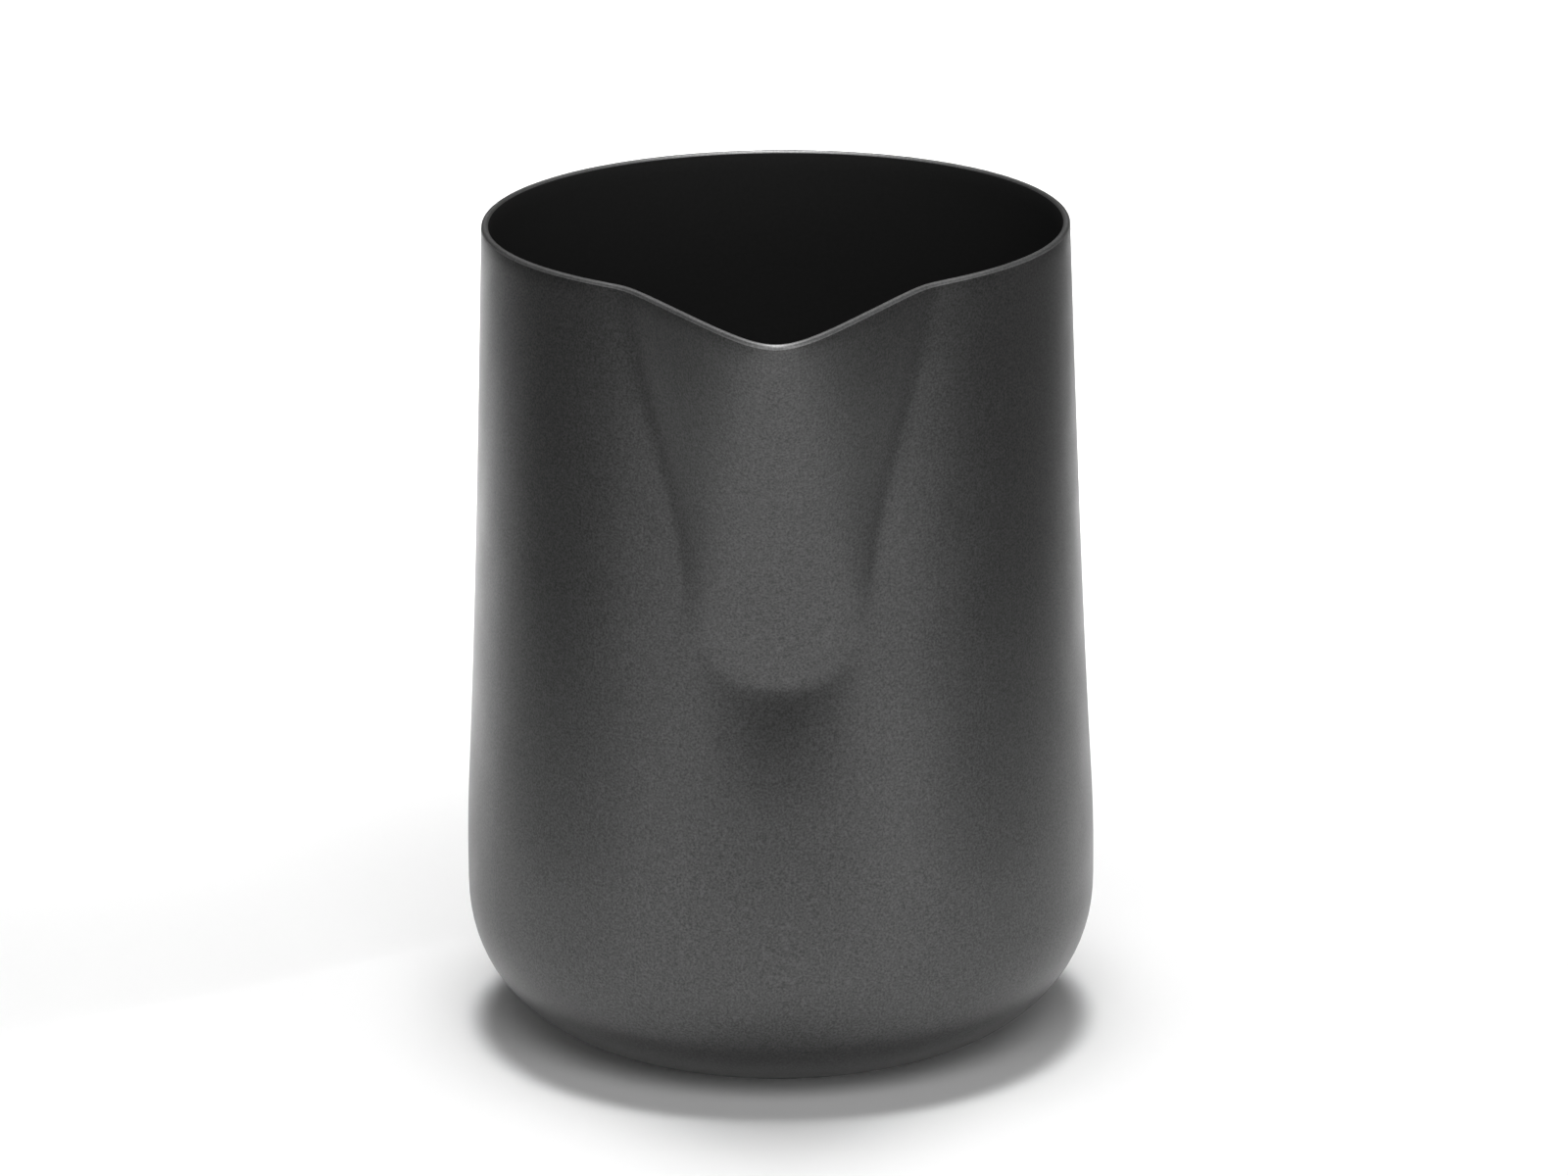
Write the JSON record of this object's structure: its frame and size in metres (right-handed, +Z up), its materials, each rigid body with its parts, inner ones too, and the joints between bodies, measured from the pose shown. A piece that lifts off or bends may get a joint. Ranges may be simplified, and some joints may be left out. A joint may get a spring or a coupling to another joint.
{
  "type": "milk frothing pitcher",
  "caption": "Steel milk frothing pitcher with a matt graphite coating, a gently flared round body, a pressed V-shaped pouring spout and a strap handle welded to its back.",
  "frame": {"origin": "centre of the flat base, on the surface that the pitcher stands on", "axes": "+Z up through the middle of the round body, -Y towards the pouring spout, +Y towards the handle, +X to the right as seen from the spout side"},
  "size_m": [0.088, 0.1326, 0.116],
  "materials": {
    "graphite_coating": "matt graphite baked coating with a very fine metallic grain, on stainless steel",
    "coated_weld": "matt graphite baked coating over a dressed weld bead"
  },
  "bodies": {
    "root": {"body": "graphite_coating", "handle": "graphite_coating", "upper_weld": "coated_weld", "lower_weld": "coated_weld"}
  },
  "joints": []
}
